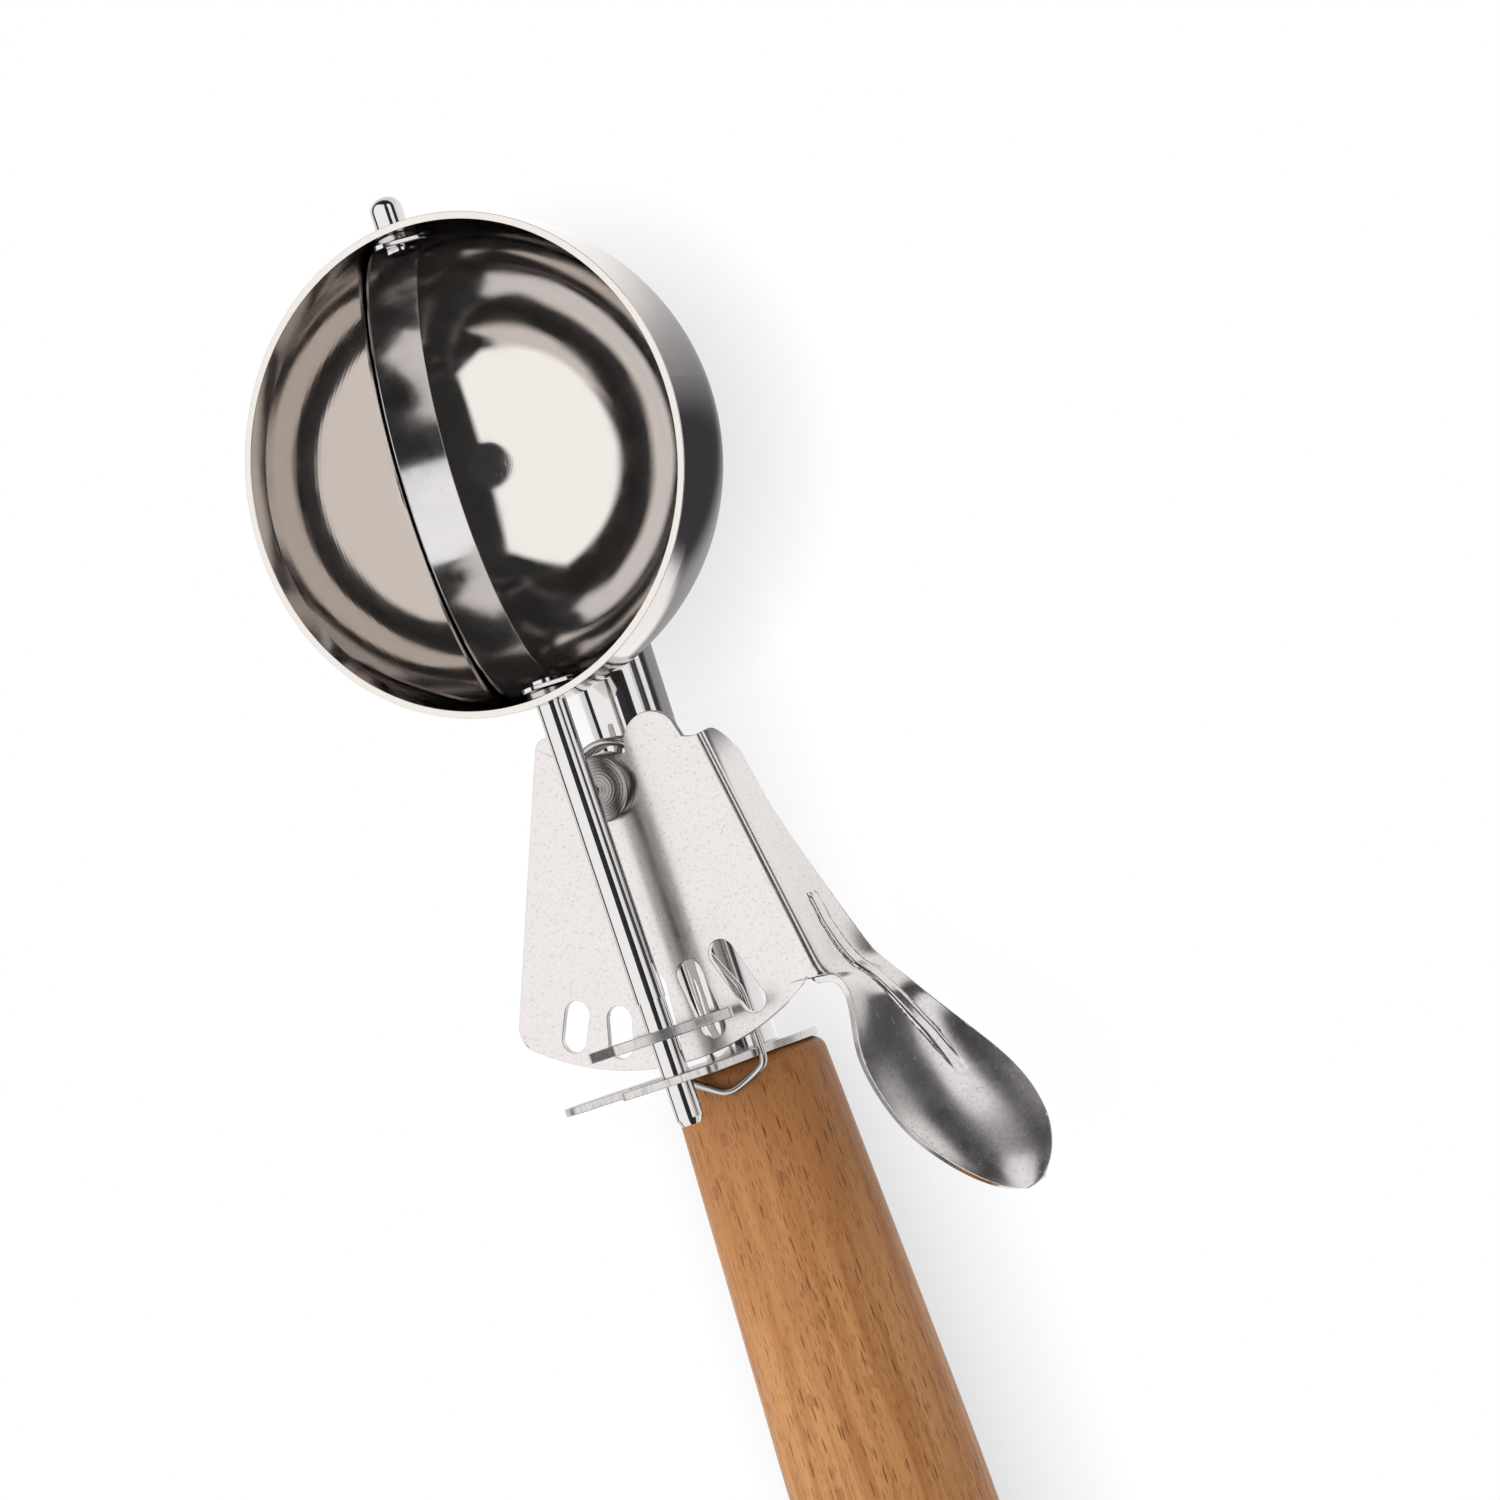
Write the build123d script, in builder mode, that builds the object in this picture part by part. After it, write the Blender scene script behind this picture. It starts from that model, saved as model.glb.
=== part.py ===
from build123d import *
import os
from math import acos, asin, atan, atan2, ceil, cos, degrees, hypot, pi, radians, sin, sqrt, tan

os.makedirs("parts", exist_ok=True)

# Layout, in millimetres. The handle's axis is Y, with Y = 0 at its butt. The bowl opens to +Z,
# and the thumb lever stands on the +X side.
handle_length = 110.0
pivot_to_bowl = 41.2
shaft_to_lever = 5.8
fan_floor_gap = 0.9

# Clearances
running_gap = 0.05
face_gap = 0.05
seat_gap = 0.02
cut_overrun = 2.0

# Handle, turned wood: two straight tapers that meet in a soft belly
butt_radius = 10.6
swell_radius = 12.85
swell_y = 37.0
top_radius = 9.85
butt_round = 5.0
top_round = 1.8
belly_share = 0.8

# Stud that joins handle, base plate and neck
stud_diameter = 6.0
stud_in_handle = 65.0
stud_in_neck = 19.0
stud_chamfer = 0.6
stud_end_gap = 0.5

# Base plate, stamped sheet square to the handle
plate_thickness = 1.0
plate_disc_radius = 9.5
tongue_left = 6.2
tongue_right = 7.3
tongue_past_shaft = 4.1
tongue_corner = 1.5
guard_reach = 17.5
guard_rise = 5.4
guard_radius = 5.1
guard_root_radius = 6.0

# Neck, a tapered bar on the handle's axis
neck_foot_radius = 4.6
neck_bowl_radius = 5.4
neck_flat_height = 4.2
neck_flat_margin = 0.2

# Bowl, spun sheet: a hemisphere under the shaft's axis and a straight skirt above it
bowl_radius = 30.0
bowl_wall = 0.9
skirt_height = 3.28
rim_round = 0.1

# Scraper blade, a strip that follows the bowl's inside
blade_gap = 0.8
blade_thickness = 0.6
blade_width = 6.4
blade_tab_past_axis = 2.8
blade_tab_corner = 1.2
blade_rest_angle = 41.0

# Pin at the bowl's tip and the two washers
tip_pin_diameter = 2.6
tip_head_diameter = 3.95
tip_head_length = 3.95
tip_head_round = 1.5
inner_head_height = 0.6
inner_head_lip = 0.5
washer_diameter = 5.0

# Drive shaft
shaft_diameter = 3.7
shaft_seat_diameter = 3.35
shaft_spigot_diameter = 2.4
shaft_below_plate = 5.1
shaft_end_taper = 0.8
shaft_seat_above_pinion = 3.6

# Pinion, stamped disc with five teeth and a plain stretch
pinion_divisions = 7
pinion_teeth = 5
pinion_thickness = 1.25
pinion_above_plate = 5.0
pitch_below_lever_face = 1.13
tooth_above_pitch = 2.17
tooth_below_pitch = 2.33
tooth_root_half_width = 1.1
tooth_tip_half_width = 0.5
pinion_plain_angle = 68.0

# Lever, one stamped sheet: slotted fan, folded flange, arm and dished thumb pad
lever_thickness = 0.9
lever_tilt = 5.0
fan_radius = 34.3
fan_left_angle = 36.4
fan_right_angle = 36.7
fan_corner = 3.0
lever_top = 7.6
lever_top_left = 7.62
lever_top_corner = 1.6
notch_left = 4.2
notch_below_ear = 0.3
notch_corner = 1.0
ear_radius = 3.8
ear_centre_x = 7.7
bend_top_x = 12.82
bend_top_y = 2.7
bend_inner_radius = 0.9
flange_depth_top = 7.3
flange_depth_low = 9.0
flange_rise = 1.3
flange_front_corner = 1.2
flange_rear_corner = 3.0
flange_flare = 3.2
slot_count = 5
slot_width = 3.4
slot_edge_margin = 1.4
slot_length = 10.0
short_slot_length = 6.5
short_slots = 2

# Arm and pad: how far out, down and deep they reach from the flange's lower end
arm_reach = 20.2
arm_drop = 29.3
pad_depth = 10.2
pad_dish = 1.5

# Flange sections from where its rear edge starts to flare outwards: shares along and of the flare
flare_section_shares = [
    (0.33, 0.00),
    (0.55, 0.27),
    (0.78, 0.62),
    (1.00, 1.00),
]

# Arm sections: the front edge and the back edge as shares out, down and deep, then the dish share
arm_section_shares = [
    (0.11, 0.11, 0.06, 0.32, 0.12, 0.89, 0.60),
    (0.13, 0.23, 0.02, 0.48, 0.25, 0.93, 0.80),
    (0.12, 0.37, -0.06, 0.65, 0.38, 0.97, 1.00),
    (0.20, 0.54, -0.10, 0.80, 0.51, 1.00, 1.00),
    (0.32, 0.71, -0.10, 0.92, 0.64, 0.98, 0.90),
    (0.52, 0.87, 0.00, 1.00, 0.78, 0.87, 0.60),
    (0.70, 0.98, 0.16, 1.00, 0.89, 0.70, 0.30),
    (0.83, 1.03, 0.34, 0.97, 0.98, 0.55, 0.10),
]

# Pivot: rivet with a turned head, bush and washer
rivet_head_diameter = 8.2
rivet_head_height = 1.4
rivet_head_round = 0.35
rivet_shank_diameter = 4.0
rivet_spigot_diameter = 3.0
rivet_spigot_depth = 6.0
bush_diameter = 7.0
pivot_washer_diameter = 8.6
pivot_washer_thickness = 0.5

# Return spring: a torsion coil round the bush, a fixed leg at the base plate's tongue, ending in a
# hook under the plate, and a moving leg at the lever's flange
wire_diameter = 1.0
coil_radius = 5.45
coil_pitch = 1.45
full_coils = 2
coil_below_lever = 0.7
leg_beside_tongue = 0.7
leg_above_plate = 7.0
leg_below_plate = 1.1
leg_round = 4.0
hook_in = 5.9
hook_drop = 3.4
hook_reach = 10.2
hook_end_drop = 0.72
hook_round = 2.0
hook_off_handle = 0.35
moving_leg_contact = 14.0
moving_leg_gap = 0.3
samples_per_edge = 12

# Worked-out places
plate_top_y = handle_length + plate_thickness
pivot_y = plate_top_y + fan_floor_gap + fan_radius
bowl_y = pivot_y + pivot_to_bowl
coil_top_z = top_radius + hook_off_handle + wire_diameter / 2
lever_back_z = coil_top_z + coil_below_lever
lever_front_z = lever_back_z + lever_thickness
shaft_rise = lever_front_z + shaft_to_lever
bowl_inner_radius = bowl_radius - bowl_wall
blade_outer_radius = bowl_inner_radius - blade_gap
blade_inner_radius = blade_outer_radius - blade_thickness
pinion_y = plate_top_y + pinion_above_plate
shaft_end_y = handle_length - shaft_below_plate
shaft_shoulder_y = pinion_y + shaft_seat_above_pinion + pinion_thickness / 2
rack_radius = pivot_y - pinion_y
pinion_pitch_radius = shaft_to_lever + pitch_below_lever_face
pinion_tip_radius = pinion_pitch_radius + tooth_above_pitch
pinion_root_radius = pinion_pitch_radius - tooth_below_pitch
pinion_ratio = rack_radius / pinion_pitch_radius
pinion_rest_angle = pinion_ratio * lever_tilt
slot_pitch_angle = 360 / pinion_divisions / pinion_ratio
slot_outer_radius = fan_radius - slot_edge_margin


# A plane square to the handle, with its own x along X and its own y along Z
def cross_plane(y, z):
    return Plane(origin=(0, y, z), x_dir=(1, 0, 0), z_dir=(0, -1, 0))


# Handle
half_turn = (atan((swell_radius - butt_radius) / swell_y)
             + atan((swell_radius - top_radius) / (handle_length - swell_y))) / 2
belly_round = belly_share * (swell_y - butt_round) / tan(half_turn)
stud_bore_radius = stud_diameter / 2 + seat_gap
stud_low_y = handle_length - stud_in_handle

with BuildPart() as handle:
    with BuildSketch(Plane.XY) as handle_profile:
        with BuildLine():
            Polyline(
                (0, 0),
                (butt_radius, 0),
                (swell_radius, swell_y),
                (top_radius, handle_length),
                (0, handle_length),
                close=True,
            )
        make_face()
        for corner, corner_round in (
            ((butt_radius, 0), butt_round),
            ((swell_radius, swell_y), belly_round),
            ((top_radius, handle_length), top_round),
        ):
            fillet(handle_profile.vertices().sort_by_distance(corner)[0], corner_round)
    revolve(axis=Axis.Y)
    with BuildSketch(cross_plane(handle_length, 0)):
        Circle(stud_bore_radius)
    extrude(amount=stud_in_handle, mode=Mode.SUBTRACT)
handle.part.label = "handle"
export_step(handle.part, "parts/handle.step")

# Stud
stud_length = stud_in_handle + plate_thickness + stud_in_neck - stud_end_gap * 2
with BuildPart() as tang_stud:
    with BuildSketch(cross_plane(stud_low_y + stud_end_gap, 0)):
        Circle(stud_diameter / 2)
    extrude(amount=-stud_length)
    chamfer(tang_stud.edges().filter_by(GeomType.CIRCLE), stud_chamfer)
tang_stud.part.label = "tang_stud"
export_step(tang_stud.part, "parts/tang_stud.step")

# Base plate
tongue_width = tongue_left + tongue_right
tongue_top = shaft_rise + tongue_past_shaft
tongue_middle_x = (tongue_right - tongue_left) / 2
shaft_seat_radius = shaft_seat_diameter / 2

with BuildSketch(cross_plane(handle_length, 0)) as guard_outline:
    Circle(guard_root_radius)
    with Locations((-guard_reach, guard_rise)):
        Circle(guard_radius)
    make_hull()

with BuildSketch(cross_plane(handle_length, 0)) as tongue_outline:
    with Locations((tongue_middle_x, tongue_top / 2)):
        Rectangle(tongue_width, tongue_top)
    fillet(tongue_outline.vertices().group_by(Axis.Y)[-1], tongue_corner)

with BuildPart() as base_plate:
    with BuildSketch(cross_plane(handle_length, 0)):
        Circle(plate_disc_radius)
        add(guard_outline.sketch_local)
        add(tongue_outline.sketch_local)
        Circle(stud_bore_radius, mode=Mode.SUBTRACT)
        with Locations((0, shaft_rise)):
            Circle(shaft_seat_radius + running_gap, mode=Mode.SUBTRACT)
    extrude(amount=-plate_thickness)
base_plate.part.label = "base_plate"
export_step(base_plate.part, "parts/base_plate.step")

# Neck
neck_end_y = bowl_y - bowl_radius / 2
spigot_radius = rivet_spigot_diameter / 2
bush_seat_radius = bush_diameter / 2 + neck_flat_margin

with BuildPart() as neck:
    with BuildSketch(Plane.XY):
        with BuildLine():
            Polyline(
                (0, plate_top_y),
                (neck_foot_radius, plate_top_y),
                (neck_bowl_radius, neck_end_y),
                (0, neck_end_y),
                close=True,
            )
        make_face()
    revolve(axis=Axis.Y)
    with Locations((0, bowl_y, shaft_rise)):
        Sphere(bowl_radius + seat_gap, mode=Mode.SUBTRACT)
    with BuildSketch(cross_plane(plate_top_y, 0)):
        Circle(stud_bore_radius)
    extrude(amount=-stud_in_neck, mode=Mode.SUBTRACT)
    with BuildSketch(Plane(origin=(0, pivot_y, neck_flat_height))):
        Circle(bush_seat_radius)
    extrude(amount=neck_bowl_radius, mode=Mode.SUBTRACT)
    with BuildSketch(Plane(origin=(0, pivot_y, neck_flat_height))):
        Circle(spigot_radius + seat_gap)
    extrude(amount=-rivet_spigot_depth - stud_end_gap, mode=Mode.SUBTRACT)
neck.part.label = "neck"
export_step(neck.part, "parts/neck.step")

# Bowl
bowl_plane = cross_plane(bowl_y, shaft_rise)
bowl_axis = Axis((0, bowl_y, shaft_rise), (0, 0, 1))
shaft_axis = Axis((0, 0, shaft_rise), (0, 1, 0))
slant = sqrt(2) / 2

with BuildPart() as bowl:
    with BuildSketch(bowl_plane):
        with BuildLine():
            Line((0, -bowl_inner_radius), (0, -bowl_radius))
            ThreePointArc(
                (0, -bowl_radius),
                (bowl_radius * slant, -bowl_radius * slant),
                (bowl_radius, 0),
            )
            Polyline(
                (bowl_radius, 0),
                (bowl_radius, skirt_height),
                (bowl_inner_radius, skirt_height),
                (bowl_inner_radius, 0),
            )
            ThreePointArc(
                (bowl_inner_radius, 0),
                (bowl_inner_radius * slant, -bowl_inner_radius * slant),
                (0, -bowl_inner_radius),
            )
        make_face()
    revolve(axis=bowl_axis)
    fillet(bowl.faces().sort_by(Axis.Z)[-1].edges(), rim_round)
    with BuildSketch(bowl_plane):
        Circle(tip_pin_diameter / 2 + running_gap)
    extrude(amount=-bowl_radius - cut_overrun, mode=Mode.SUBTRACT)
    with BuildSketch(bowl_plane):
        Circle(shaft_diameter / 2 + running_gap)
    extrude(amount=bowl_radius + cut_overrun, mode=Mode.SUBTRACT)
bowl.part.label = "bowl"
export_step(bowl.part, "parts/bowl.step")

# Scraper blade: a spherical shell trimmed to a strip that ends in two round tabs
blade_turn = radians(blade_rest_angle)
blade_plane = Plane(
    origin=(0, bowl_y, shaft_rise),
    x_dir=(cos(blade_turn), 0, -sin(blade_turn)),
    z_dir=(0, 1, 0),
)
blade_reach = bowl_radius + cut_overrun
strip_length = blade_reach + blade_tab_past_axis

with BuildPart() as scraper_blade:
    with Locations((0, bowl_y, shaft_rise)):
        Sphere(blade_outer_radius)
        Sphere(blade_inner_radius, mode=Mode.SUBTRACT)
    with BuildSketch(blade_plane) as strip:
        with Locations((0, strip_length / 2 - blade_tab_past_axis)):
            Rectangle(blade_width, strip_length)
        tab_corners = strip.vertices().group_by(Axis.Y)[0]
        fillet(tab_corners, blade_tab_corner)
    extrude(amount=blade_reach, both=True, mode=Mode.INTERSECT)
    with BuildSketch(bowl_plane):
        Circle(tip_pin_diameter / 2 + seat_gap)
    extrude(amount=-blade_reach, mode=Mode.SUBTRACT)
    with BuildSketch(bowl_plane):
        Circle(shaft_spigot_diameter / 2 + seat_gap)
    extrude(amount=blade_reach, mode=Mode.SUBTRACT)
scraper_blade.part.label = "scraper_blade"
export_step(scraper_blade.part, "parts/scraper_blade.step")

# Tip pin: domed head outside, pin through bowl, washer and blade, riveted head inside
tip_pin_radius = tip_pin_diameter / 2
tip_inner_head_radius = tip_pin_radius + inner_head_lip
tip_seat_y = bowl_y + sqrt(blade_inner_radius**2 - tip_inner_head_radius**2) - seat_gap
tip_inner_y = tip_seat_y - inner_head_height
tip_head_y = bowl_y + bowl_radius + face_gap
tip_end_y = tip_head_y + tip_head_length

with BuildPart() as tip_pin:
    with BuildSketch(Plane.XY.offset(shaft_rise)) as tip_profile:
        with BuildLine():
            Polyline(
                (0, tip_inner_y),
                (tip_inner_head_radius, tip_inner_y),
                (tip_inner_head_radius, tip_seat_y),
                (tip_pin_radius, tip_seat_y),
                (tip_pin_radius, tip_head_y),
                (tip_head_diameter / 2, tip_head_y),
                (tip_head_diameter / 2, tip_end_y),
                (0, tip_end_y),
                close=True,
            )
        make_face()
        dome_corner = tip_profile.vertices().group_by(Axis.Y)[-1].sort_by(Axis.X)[-1]
        fillet(dome_corner, tip_head_round)
    revolve(axis=shaft_axis)
tip_pin.part.label = "tip_pin"
export_step(tip_pin.part, "parts/tip_pin.step")

# Washers between blade and bowl, one at each end
washer_outer_face = sqrt(bowl_inner_radius**2 - (washer_diameter / 2) ** 2) - face_gap
washer_inner_face = blade_outer_radius + seat_gap
washer_thickness = washer_outer_face - washer_inner_face
spigot_washer_radius = shaft_spigot_diameter / 2 + seat_gap

with BuildPart() as tip_washer:
    with BuildSketch(cross_plane(bowl_y + washer_inner_face, shaft_rise)):
        Circle(washer_diameter / 2)
        Circle(tip_pin_radius + seat_gap, mode=Mode.SUBTRACT)
    extrude(amount=-washer_thickness)
tip_washer.part.label = "tip_washer"
export_step(tip_washer.part, "parts/tip_washer.step")

with BuildPart() as shaft_washer:
    with BuildSketch(cross_plane(bowl_y - washer_inner_face, shaft_rise)):
        Circle(washer_diameter / 2)
        Circle(spigot_washer_radius, mode=Mode.SUBTRACT)
    extrude(amount=washer_thickness)
shaft_washer.part.label = "shaft_washer"
export_step(shaft_washer.part, "parts/shaft_washer.step")

# Drive shaft: thin seat for the pinion below, spigot with a riveted head inside the bowl
shaft_radius = shaft_diameter / 2
shaft_spigot_radius = shaft_spigot_diameter / 2
shaft_head_radius = shaft_spigot_radius + inner_head_lip
shaft_top_y = bowl_y - washer_outer_face - seat_gap
shaft_head_y = bowl_y - sqrt(blade_inner_radius**2 - shaft_head_radius**2) + seat_gap

with BuildPart() as drive_shaft:
    with BuildSketch(Plane.XY.offset(shaft_rise)):
        with BuildLine():
            Polyline(
                (0, shaft_end_y),
                (shaft_seat_radius - shaft_end_taper / 2, shaft_end_y),
                (shaft_seat_radius, shaft_end_y + shaft_end_taper),
                (shaft_seat_radius, shaft_shoulder_y),
                (shaft_radius, shaft_shoulder_y),
                (shaft_radius, shaft_top_y),
                (shaft_spigot_radius, shaft_top_y),
                (shaft_spigot_radius, shaft_head_y),
                (shaft_head_radius, shaft_head_y),
                (shaft_head_radius, shaft_head_y + inner_head_height),
                (0, shaft_head_y + inner_head_height),
                close=True,
            )
        make_face()
    revolve(axis=shaft_axis)
drive_shaft.part.label = "drive_shaft"
export_step(drive_shaft.part, "parts/drive_shaft.step")

# Pinion: tapered teeth that enter the lever's slots, and a plain stretch opposite
tooth_pitch = 360 / pinion_divisions
middle_tooth_angle = -90 - pinion_rest_angle
first_tooth_angle = middle_tooth_angle - tooth_pitch * (pinion_teeth - 1) / 2
tooth_foot_radius = sqrt(pinion_root_radius**2 - tooth_root_half_width**2)
tooth_height = pinion_tip_radius - tooth_foot_radius
tooth_side_angle = degrees(atan2(tooth_height, tooth_root_half_width - tooth_tip_half_width))
plain_start_angle = middle_tooth_angle + 180 - pinion_plain_angle / 2
plain_start = Vector(pinion_tip_radius, 0).rotate(Axis.Z, plain_start_angle)
plain_end = plain_start.rotate(Axis.Z, pinion_plain_angle)

with BuildPart() as pinion:
    with BuildSketch(cross_plane(pinion_y - pinion_thickness / 2, shaft_rise)):
        with BuildLine():
            Line((0, 0), plain_start)
            CenterArc((0, 0), pinion_tip_radius, plain_start_angle, pinion_plain_angle)
            Line(plain_end, (0, 0))
        make_face()
        Circle(pinion_root_radius)
        tooth_places = PolarLocations(
            tooth_foot_radius + tooth_height / 2,
            pinion_teeth,
            first_tooth_angle,
            tooth_pitch * pinion_teeth,
        )
        with tooth_places:
            Trapezoid(tooth_root_half_width * 2, tooth_height, tooth_side_angle, rotation=-90)
        Circle(shaft_seat_radius + seat_gap, mode=Mode.SUBTRACT)
    extrude(amount=-pinion_thickness)
pinion.part.label = "pinion"
export_step(pinion.part, "parts/pinion.step")

# Lever. Its own plane lies on the sheet's back, with x to the pad's side and y to the bowl.
tilt = radians(lever_tilt)
lever_plane = Plane(
    origin=(0, pivot_y, lever_back_z),
    x_dir=(cos(tilt), -sin(tilt), 0),
    z_dir=(0, 0, 1),
)
left_turn = radians(fan_left_angle)
right_turn = radians(fan_right_angle)
fan_left = (-fan_radius * sin(left_turn), -fan_radius * cos(left_turn))
fan_right = (fan_radius * sin(right_turn), -fan_radius * cos(right_turn))
ear_left = ear_centre_x - ear_radius
ear_centre_y = lever_top - ear_radius
notch_floor = ear_centre_y - notch_below_ear
ear_to_bend = hypot(bend_top_x - ear_centre_x, bend_top_y - ear_centre_y)
ear_leave_angle = (atan2(bend_top_y - ear_centre_y, bend_top_x - ear_centre_x)
                   + acos(ear_radius / ear_to_bend))
ear_leave = (
    ear_centre_x + ear_radius * cos(ear_leave_angle),
    ear_centre_y + ear_radius * sin(ear_leave_angle),
)
bend_top = lever_plane.from_local_coords(Vector(bend_top_x, bend_top_y, 0))
bend_low = lever_plane.from_local_coords(Vector(*fan_right, 0))
bend_length = (bend_low - bend_top).length
bend_along = (bend_low - bend_top).normalized()
bend_out = Vector(0, 0, 1).cross(bend_along)
bend_outer_radius = bend_inner_radius + lever_thickness
bend_plane = Plane(origin=bend_top, x_dir=bend_out, z_dir=bend_along)
flange_plane = Plane(origin=bend_top + bend_out * bend_inner_radius, x_dir=bend_along, z_dir=bend_out)
arm_root = bend_low + bend_out * (bend_inner_radius + lever_thickness / 2)


# A point of the arm from its shares out, down and deep
def arm_point(out_share, down_share, deep_share):
    out = lever_plane.x_dir * (arm_reach * out_share)
    down = lever_plane.y_dir * (-arm_drop * down_share)
    deep = Vector(0, 0, lever_thickness - pad_depth * deep_share)
    return arm_root + out + down + deep


# One thin cross-section of the sheet between its front and back edges, square to its run, sunk
# by the dish in its middle
def sheet_section(front, back, run, dish):
    across = (back - front).normalized()
    along = (run - across * run.dot(across)).normalized()
    half_width = (back - front).length / 2
    half_sheet = lever_thickness / 2
    with BuildSketch(Plane(origin=(front + back) / 2, x_dir=across, z_dir=along)) as section:
        if dish > 0:
            radius = (half_width**2 + dish**2) / (2 * dish)
            half_angle = degrees(asin(half_width / radius))
            centre = (0, radius - dish)
            with BuildLine():
                upper = CenterArc(centre, radius - half_sheet, -90 - half_angle, 2 * half_angle)
                lower = CenterArc(centre, radius + half_sheet, -90 - half_angle, 2 * half_angle)
                Line(upper @ 0, lower @ 0)
                Line(upper @ 1, lower @ 1)
            make_face()
        else:
            Rectangle(half_width * 2, lever_thickness)
    return section.sketch.face()


# The flange's depth behind the lever's front, by the distance along the bend
def flange_depth(along):
    return flange_depth_top + (flange_depth_low - flange_depth_top) * along / bend_length


# One section of the flange that leaves the bend square to the fan and flares out to its rear edge
def flange_section(along_share, flare_share):
    along = bend_length * along_share
    depth = flange_depth(along)
    middle = bend_top + bend_along * along + bend_out * (bend_inner_radius + lever_thickness / 2)
    front = middle - Vector(0, 0, bend_inner_radius)
    back = middle - Vector(0, 0, depth - lever_thickness) + bend_out * (flange_flare * flare_share)
    lean = atan2(flange_flare * flare_share, depth - bend_outer_radius)
    return sheet_section(front, back, bend_along, (back - front).length / 2 * tan(lean / 2))


flange_faces = [flange_section(*row) for row in flare_section_shares]
arm_fronts = [arm_point(*row[0:3]) for row in arm_section_shares]
arm_backs = [arm_point(*row[3:6]) for row in arm_section_shares]
arm_middles = [(front + back) / 2 for front, back in zip(arm_fronts, arm_backs)]
arm_runs = [
    after - before
    for before, after in zip([arm_root] + arm_middles[:-1], arm_middles[1:] + arm_middles[-1:])
]
arm_faces = []
for front, back, run, row in zip(arm_fronts, arm_backs, arm_runs, arm_section_shares):
    arm_faces.append(sheet_section(front, back, run, pad_dish * row[6]))
flare_start = bend_length * flare_section_shares[0][0]

with BuildPart() as lever:
    with BuildSketch(lever_plane) as sheet:
        with BuildLine():
            ThreePointArc(fan_right, (0, -fan_radius), fan_left)
            Polyline(
                fan_left,
                (-lever_top_left, lever_top),
                (-notch_left, lever_top),
                (-notch_left, notch_floor),
                (ear_left, notch_floor),
                (ear_left, ear_centre_y),
            )
            ThreePointArc((ear_left, ear_centre_y), (ear_centre_x, lever_top), ear_leave)
            Polyline(ear_leave, (bend_top_x, bend_top_y), fan_right)
        make_face()
        for corner, corner_round in (
            (fan_left, fan_corner),
            ((-lever_top_left, lever_top), lever_top_corner),
            ((-notch_left, notch_floor), notch_corner),
        ):
            fillet(sheet.vertices().sort_by_distance(corner)[0], corner_round)
        Circle(rivet_shank_diameter / 2 + running_gap, mode=Mode.SUBTRACT)
        for number in range(slot_count):
            slot_turn = radians((number - (slot_count - 1) / 2) * slot_pitch_angle)
            length = short_slot_length if number < short_slots else slot_length
            slot_middle = slot_outer_radius - length / 2
            with Locations((slot_middle * sin(slot_turn), -slot_middle * cos(slot_turn))):
                SlotOverall(
                    length,
                    slot_width,
                    rotation=degrees(slot_turn) - 90,
                    mode=Mode.SUBTRACT,
                )
    extrude(amount=lever_thickness)
    with BuildSketch(bend_plane):
        with BuildLine():
            Line((0, 0), (0, lever_thickness))
            CenterArc((0, -bend_inner_radius), bend_outer_radius, 0, 90)
            Line((bend_outer_radius, -bend_inner_radius), (bend_inner_radius, -bend_inner_radius))
            CenterArc((0, -bend_inner_radius), bend_inner_radius, 0, 90)
        make_face()
    extrude(amount=bend_length)
    with BuildSketch(flange_plane) as flange:
        with BuildLine():
            Polyline(
                (-flange_rise, bend_inner_radius),
                (-flange_rise, flange_depth(-flange_rise) - lever_thickness),
                (flare_start, flange_depth(flare_start) - lever_thickness),
                (flare_start, bend_inner_radius),
                close=True,
            )
        make_face()
        for corner, corner_round in (
            ((-flange_rise, bend_inner_radius), flange_front_corner),
            ((-flange_rise, flange_depth(-flange_rise) - lever_thickness), flange_rear_corner),
        ):
            fillet(flange.vertices().sort_by_distance(corner)[0], corner_round)
    extrude(amount=lever_thickness)
    loft(flange_faces + arm_faces[:1], ruled=True)
    loft(arm_faces)
lever.part.label = "lever"
export_step(lever.part, "parts/lever.step")

# Pivot rivet, bush and washer
rivet_head_z = lever_front_z + face_gap
pivot_washer_top = lever_back_z - face_gap
pivot_washer_low = pivot_washer_top - pivot_washer_thickness
pivot_axis = Axis((0, pivot_y, 0), (0, 0, 1))
shank_radius = rivet_shank_diameter / 2

with BuildPart() as pivot_rivet:
    with BuildSketch(cross_plane(pivot_y, 0)) as rivet_profile:
        with BuildLine():
            Polyline(
                (0, neck_flat_height - rivet_spigot_depth),
                (spigot_radius, neck_flat_height - rivet_spigot_depth),
                (spigot_radius, neck_flat_height),
                (shank_radius, neck_flat_height),
                (shank_radius, rivet_head_z),
                (rivet_head_diameter / 2, rivet_head_z),
                (rivet_head_diameter / 2, rivet_head_z + rivet_head_height),
                (0, rivet_head_z + rivet_head_height),
                close=True,
            )
        make_face()
        rim_corner = rivet_profile.vertices().group_by(Axis.Y)[-1].sort_by(Axis.X)[-1]
        fillet(rim_corner, rivet_head_round)
    revolve(axis=pivot_axis)
pivot_rivet.part.label = "pivot_rivet"
export_step(pivot_rivet.part, "parts/pivot_rivet.step")

with BuildPart() as pivot_bush:
    with BuildSketch(Plane(origin=(0, pivot_y, neck_flat_height))):
        Circle(bush_diameter / 2)
        Circle(shank_radius + running_gap, mode=Mode.SUBTRACT)
    extrude(amount=pivot_washer_low - neck_flat_height)
pivot_bush.part.label = "pivot_bush"
export_step(pivot_bush.part, "parts/pivot_bush.step")

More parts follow.
